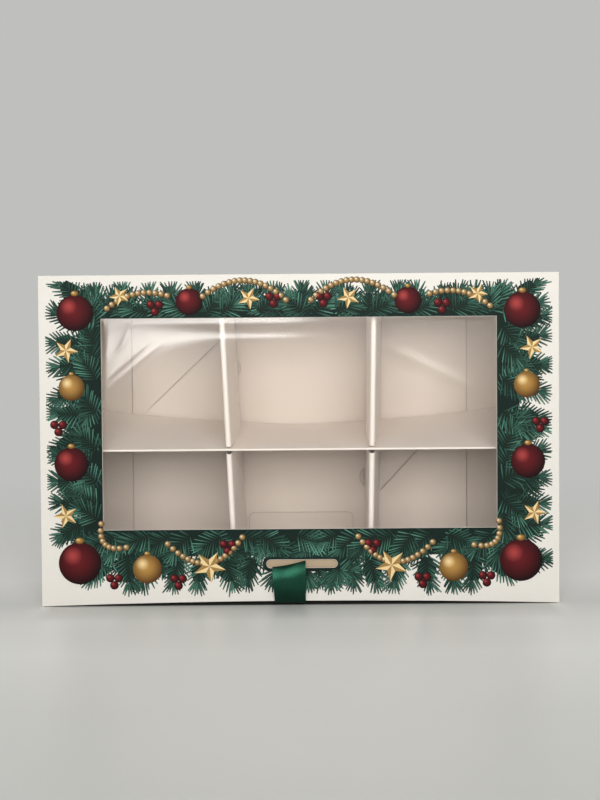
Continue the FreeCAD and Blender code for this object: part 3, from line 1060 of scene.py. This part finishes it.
# Stars with five plain points, each point ridged from light to dark: place, width and turn
STARS = [((0.0440, 0.0190), 0.0160, 0.1), ((0.1130, 0.0440), 0.0120, -0.3), ((0.1120, 0.1240), 0.0120, 0.2),
         ((0.0240, 0.1485), 0.0110, 0.15), ((0.0860, 0.1500), 0.0100, -0.2)]
STAR_WAIST = 0.42
STAR_LIGHT = (0.780, 0.600, 0.310)
STAR_DARK = (0.330, 0.195, 0.065)
star = upright_disc(10, 0.5, (0, 0, 0), "TRIFAN")
for corner in list(star.data.vertices)[1::2]:
    if corner.co.length > 0.1:
        corner.co *= STAR_WAIST
apply_modifier(star, "SOLIDIFY", thickness=0.5, offset=1)
star_layer = star.data.color_attributes.new("ink", "FLOAT_COLOR", "CORNER")
for face in star.data.polygons:
    sector = int((math.atan2(face.center.z, face.center.x) - math.pi / 2) / (math.pi / 5) + 100)
    ink = STAR_LIGHT if sector % 2 else STAR_DARK
    for corner in face.loop_indices:
        star_layer.data[corner].color = (*ink, 1.0)
stars = []
for (x, z), width, turn in STARS:
    for side in (-1, 1):
        stars.append(stamp(star, press((side * x, z), width, None, turn * side)))
join_print(stars, "print_stars")
discard(star)

# Berries in threes, each a little higher than the last
BERRY = 0.0042
BERRY_TURNS = (0.5, 2.6, 4.7)
BERRY_SPREAD = BERRY * 0.55
BERRY_TOP = 0.9
BERRY_STEP = 0.03
BERRY_PLACES = [(0.0350, 0.0285), (0.0590, 0.0120), (0.0900, 0.0125), (0.1160, 0.0870), (0.0120, 0.1480),
                (0.0690, 0.1445)]
berry = disc_model(18, 10, RED)
berries = []
for x, z in BERRY_PLACES:
    for side in (-1, 1):
        for turn in BERRY_TURNS:
            spot = step_from((side * x, z), turn, BERRY_SPREAD)
            top = PRINT_TOP * (BERRY_TOP + turn * BERRY_STEP)
            berries.append(stamp(berry, press(spot, BERRY, None, 0, top)))
join_print(berries, "print_berries")
discard(berry)


# Pull ribbon
# Dark green satin ribbon, led from inside the lid over the slot's lower lip, down over the face
# and round the lid's lower edge, and glued under the tuck flap. A tan paper patch backs the slot.

RIBBON_THICKNESS = 0.00022
RIBBON_FOOT_TAPER = 0.0010
RIBBON_TAPER_SPAN = (0.35, 0.72)
RIBBON_SKEW = 0.0015
RIBBON_SKEW_CURVE = 1.5
RIBBON_SKEW_SPAN = (0.40, 0.66)
RIBBON_CREASE = 0.00016
RIBBON_CREASE_TURNS = 9
RIBBON_CREASE_START = 1.0
RIBBON_CREASE_SPANS = ((0.26, 0.36), (0.58, 0.68))
# Depth and height of points along the ribbon, from its end inside the lid
RIBBON_PATH = [
    (-0.03428, 0.0112), (-0.03428, 0.0142), (-0.03428, 0.0170), (-0.03432, 0.0188), (-0.03462, 0.0197),
    (-0.03512, 0.0199), (-0.03572, 0.0194), (-0.03642, 0.0182), (-0.03716, 0.0164), (-0.03772, 0.0142),
    (-0.03796, 0.0116), (-0.03766, 0.0082), (-0.03690, 0.0050), (-0.03590, 0.0024), (-0.03500, 0.0010),
    (-0.03430, 0.0008), (-0.03360, 0.0012), (-0.03290, 0.0017), (-0.03000, 0.00182), (-0.02400, 0.00182),
]
PATH_STEPS = 200
PATCH_SIDES = (-0.0225, 0.0238)
PATCH_LEVELS = (0.0058, 0.0290)
PATCH_BULGE = 0.00055
PATCH_GLUE = 0.0032
PATCH_THICKNESS = 0.0001
PATCH_TAN = (0.440, 0.340, 0.232, 1)
PATCH_SHADE = (0.380, 0.290, 0.195, 1)
SATIN_GREEN = (0.0007, 0.0018, 0.0013, 1)
SATIN_SHEEN = (0.22, 1.0, 0.62, 1)
SATIN_GLOSS = 0.70
SATIN_ROUGHNESS = 0.34
THREAD_SCALE = 1700.0
THREAD_STRETCH = (1.0, 0.35, 0.35)
THREAD_HEIGHT = 0.00009
ribbon_low, ribbon_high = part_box("pull_ribbon")


def patch_place(across, along):
    x = between(*PATCH_SIDES, across)
    z = between(*PATCH_LEVELS, along)
    inset = min(x - PATCH_SIDES[0], PATCH_SIDES[1] - x, z - PATCH_LEVELS[0], PATCH_LEVELS[1] - z)
    return (x, lid_back + PATCH_THICKNESS + PATCH_BULGE * smooth_step(0.0, PATCH_GLUE, inset), z)


slot_patch = folded_sheet("slot_backing_patch", 28, 16, patch_place)
thicken(slot_patch, PATCH_THICKNESS, 0, 50)
dress(slot_patch, board_material("tan_paper", PATCH_TAN, PATCH_SHADE, cloud=0.5, bump=0.5)[0])
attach(slot_patch, "lid")


def path_point(share):
    """Point on a smooth curve through the points of the ribbon's path."""
    last = len(RIBBON_PATH) - 1
    i = min(last - 1, int(share * last))
    t = share * last - i
    near = [RIBBON_PATH[min(last, max(0, i + k))] for k in (-1, 0, 1, 2)]
    return tuple(0.5 * (2 * b + (c - a) * t + (2 * a - 5 * b + 4 * c - d) * t ** 2
                        + (3 * b - a - 3 * c + d) * t ** 3)
                 for a, b, c, d in zip(*near))


def ribbon_place(across, along):
    y, z = path_point(along)
    rises, falls = RIBBON_CREASE_SPANS
    creased = smooth_step(*rises, along) * (1 - smooth_step(*falls, along))
    crease = RIBBON_CREASE * math.sin(across * RIBBON_CREASE_TURNS + RIBBON_CREASE_START) * creased
    skew = (2 * across ** RIBBON_SKEW_CURVE - 1) * RIBBON_SKEW * (1 - smooth_step(*RIBBON_SKEW_SPAN, along))
    left = ribbon_low.x + RIBBON_FOOT_TAPER * smooth_step(*RIBBON_TAPER_SPAN, along)
    return (between(left, ribbon_high.x, across), y + crease, z + skew)


pull_ribbon = folded_sheet("pull_ribbon_satin", 28, 120, ribbon_place)
thicken(pull_ribbon, RIBBON_THICKNESS, 0, 50)
ribbon_points = [path_point(i / PATH_STEPS) for i in range(PATH_STEPS + 1)]
ribbon_length = sum(math.dist(*ends) for ends in zip(ribbon_points, ribbon_points[1:]))

satin, satin_tree, satin_shader = new_material("satin_ribbon")
satin_place = add_node(satin_tree, "ShaderNodeTexCoord").outputs["Object"]
satin_thread = fibre_noise(satin_tree, satin_place, THREAD_STRETCH, THREAD_SCALE)
satin_relief = add_node(satin_tree, "ShaderNodeBump",
                        {"Height": satin_thread, "Strength": 1.0, "Distance": THREAD_HEIGHT})
satin_tree.links.new(satin_relief.outputs[0], satin_shader.inputs["Normal"])
set_shader(satin_shader, Base_Color=SATIN_GREEN, Specular_Tint=SATIN_SHEEN, Specular_IOR_Level=SATIN_GLOSS,
           Roughness=SATIN_ROUGHNESS)
dress(pull_ribbon, satin)
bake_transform(pull_ribbon)
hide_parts("pull_ribbon", "ribbon_tail")


# Floor, light and camera
# A pale grey sweep under and behind the box, a wide soft light in front and above, a weak fill
# straight ahead, and a camera half a metre in front of the lid, level with its top edge.

BACKDROP_DISTANCE = 0.90
SWEEP_SIZE = (8.0, 4.0)
SWEEP_RADIUS = 0.35
# Tones of the floor by depth, from the front to under the box: painted light fall-off towards the front and
# painted shade at the box's front edge
FLOOR_PAINTED_SHADE = [
    (-0.240, (0.675, 0.685, 0.666, 1)), (-0.160, (0.795, 0.806, 0.784, 1)),
    (-0.100, (0.940, 0.950, 0.926, 1)), (-0.062, (0.905, 0.913, 0.890, 1)),
    (-0.032, (0.770, 0.776, 0.758, 1)), (0.010, (0.950, 0.952, 0.942, 1)),
]
FLOOR_ROUGHNESS = 0.38
FLOOR_GLOSS = 0.65
# Painted shadow on the floor along the foot of the box
PAINTED_CONTACT_SHADOW = (0.520, 0.527, 0.510, 1)
CONTACT_SHADOW_REACH = 0.022
CONTACT_SHADOW_SOFT = 0.006
# Painted shade under the box, nearly black
PAINTED_UNDER_BOX_SHADOW = (0.042, 0.042, 0.039, 1)
# Tone the backdrop glows with, painted light in place of its own shading
BACKDROP_GLOW_TONE = (0.522, 0.522, 0.507, 1)
BACKDROP_SPAN = (0.03, 0.32)
WORLD_TONE = (1.0, 0.99, 0.97, 1)
WORLD_STRENGTH = 0.43
LIGHT_SPREAD = math.radians(110)
LIGHT_COLOUR = (1.0, 0.985, 0.96)

clear_selection()
bpy.ops.mesh.primitive_plane_add(size=1)
sweep = bpy.context.object
sweep.name = "floor_sweep"
sweep.scale = (*SWEEP_SIZE, 1)
sweep.location = (0, BACKDROP_DISTANCE - SWEEP_SIZE[1] / 2, 0)
bpy.ops.object.transform_apply(location=True, rotation=False, scale=True)
edit_where(sweep, "EDGE", lambda a, b: a.y > 0 and b.y > 0)
bpy.ops.mesh.extrude_region_move(TRANSFORM_OT_translate={"value": (0, 0, SWEEP_SIZE[1])})
edit_where(sweep, "EDGE", lambda a, b: a.y > 0 and b.y > 0 and a.z < SWEEP_RADIUS and b.z < SWEEP_RADIUS)
bpy.ops.mesh.bevel(offset=SWEEP_RADIUS, segments=24)
smooth(60)

grey_paper, grey_tree, grey_shader = new_material("grey_paper")
grey_place = add_node(grey_tree, "ShaderNodeTexCoord").outputs["Object"]
grey_depth = add_node(grey_tree, "ShaderNodeSeparateXYZ", {0: grey_place}).outputs[1]
grey_from_middle = add_node(grey_tree, "ShaderNodeVectorMath", {0: grey_place}, operation="ABSOLUTE")
grey_x, grey_y, _ = add_node(grey_tree, "ShaderNodeSeparateXYZ", {0: grey_from_middle.outputs[0]}).outputs
tone_start, tone_end = FLOOR_PAINTED_SHADE[0][0], FLOOR_PAINTED_SHADE[-1][0]
tone_share = map_range(grey_tree, grey_depth, (tone_start, tone_end))
grey_painted_shade = add_node(grey_tree, "ShaderNodeValToRGB", {0: tone_share})
ramp = grey_painted_shade.color_ramp.elements
ramp[0].color = FLOOR_PAINTED_SHADE[0][1]
ramp[1].color = FLOOR_PAINTED_SHADE[-1][1]
for y, tone in FLOOR_PAINTED_SHADE[1:-1]:
    ramp.new((y - tone_start) / (tone_end - tone_start)).color = tone
# Painted shadow: the floor is darkened towards the foot of the box, and the strip seen below the lid's edge
# is painted nearly black as shade
contact_shadow_y = map_range(grey_tree, grey_y, (wall_high.y, wall_high.y + CONTACT_SHADOW_REACH), (1.0, 0.0))
contact_shadow_x = map_range(grey_tree, grey_x, (wall_high.x - CONTACT_SHADOW_SOFT, wall_high.x), (1.0, 0.0))
under_box_shadow_y = calculate(grey_tree, "LESS_THAN", grey_y, wall_high.y - BOARD / 5)
under_box_shadow_x = calculate(grey_tree, "LESS_THAN", grey_x, wall_high.x - CREASE_RADIUS)
grey_colour = mix_colours(grey_tree, calculate(grey_tree, "MULTIPLY", contact_shadow_y, contact_shadow_x),
                          grey_painted_shade.outputs[0], PAINTED_CONTACT_SHADOW)
grey_colour = mix_colours(grey_tree, calculate(grey_tree, "MULTIPLY", under_box_shadow_x, under_box_shadow_y),
                          grey_colour, PAINTED_UNDER_BOX_SHADOW)
grey_tree.links.new(grey_colour, grey_shader.inputs["Base Color"])
set_shader(grey_shader, Roughness=FLOOR_ROUGHNESS, Specular_IOR_Level=FLOOR_GLOSS)
# Painted light: behind the box the sweep glows with one even tone for the camera and in reflections, in place
# of its own shading, while the floor keeps the box's shadow
grey_path = add_node(grey_tree, "ShaderNodeLightPath")
grey_seen = 0.0
for ray in ("Is Camera Ray", "Is Glossy Ray", "Is Transmission Ray"):
    grey_seen = calculate(grey_tree, "MAXIMUM", grey_seen, grey_path.outputs[ray])
grey_far = map_range(grey_tree, grey_depth, BACKDROP_SPAN, kind="SMOOTHSTEP")
grey_glow = add_node(grey_tree, "ShaderNodeEmission", {"Color": BACKDROP_GLOW_TONE, "Strength": 1.0})
grey_even = calculate(grey_tree, "MULTIPLY", grey_far, grey_seen)
grey_mix = add_node(grey_tree, "ShaderNodeMixShader",
                    {0: grey_even, 1: grey_shader.outputs[0], 2: grey_glow.outputs[0]})
grey_tree.links.new(grey_mix.outputs[0], grey_tree.nodes["Material Output"].inputs["Surface"])
dress(sweep, grey_paper)

world = bpy.data.worlds.new("studio")
bpy.context.scene.world = world
world.use_nodes = True
world.node_tree.nodes["Background"].inputs["Color"].default_value = WORLD_TONE
world.node_tree.nodes["Background"].inputs["Strength"].default_value = WORLD_STRENGTH


def soft_light(name, place, aim, size, watts):
    """A rectangular area light at a place, turned to its aim and not seen itself."""
    clear_selection()
    bpy.ops.object.light_add(type="AREA", location=place)
    lamp = bpy.context.object
    lamp.name = name
    lamp.rotation_euler = (Vector(aim) - Vector(place)).to_track_quat("-Z", "Y").to_euler()
    lamp.data.shape = "RECTANGLE"
    lamp.data.size, lamp.data.size_y = size
    lamp.data.spread = LIGHT_SPREAD
    lamp.data.energy = watts
    lamp.data.color = LIGHT_COLOUR
    lamp.visible_camera = False
    return lamp


soft_light("key_softbox", (0.03, -0.62, 0.300), (0, 0, 0.23), (0.60, 0.26), 1.30)
fill = soft_light("front_fill", (0.0, -0.90, 0.19), (0, 0, 0.10), (0.60, 0.30), 0.40)
fill.visible_glossy = False

CAMERA_DISTANCE = 0.500
CAMERA_HEIGHT = 0.157
CAMERA_ASIDE = 0.0007
CAMERA_PITCH = math.radians(1.4)
CAMERA_ROLL = math.radians(0.45)
FOCAL_PIXELS = 1042.0
FRAME_HEIGHT_PIXELS = 800.0
HORIZON_ABOVE_MIDDLE_PIXELS = 120.0
SENSOR = 36.0
bpy.ops.object.camera_add(location=(CAMERA_ASIDE, cad_low.y - CAMERA_DISTANCE, CAMERA_HEIGHT))
camera = bpy.context.object
camera.data.sensor_width = SENSOR
camera.data.lens = FOCAL_PIXELS / FRAME_HEIGHT_PIXELS * SENSOR
shift_pixels = HORIZON_ABOVE_MIDDLE_PIXELS - math.tan(CAMERA_PITCH) * FOCAL_PIXELS
camera.data.shift_y = -shift_pixels / FRAME_HEIGHT_PIXELS
camera.matrix_world = (Matrix.Translation(camera.location)
                       @ Matrix.Rotation(math.pi / 2 - CAMERA_PITCH, 4, "X")
                       @ Matrix.Rotation(-CAMERA_ROLL, 4, "Z"))
bpy.context.scene.camera = camera
bpy.context.scene.view_settings.view_transform = "Standard"
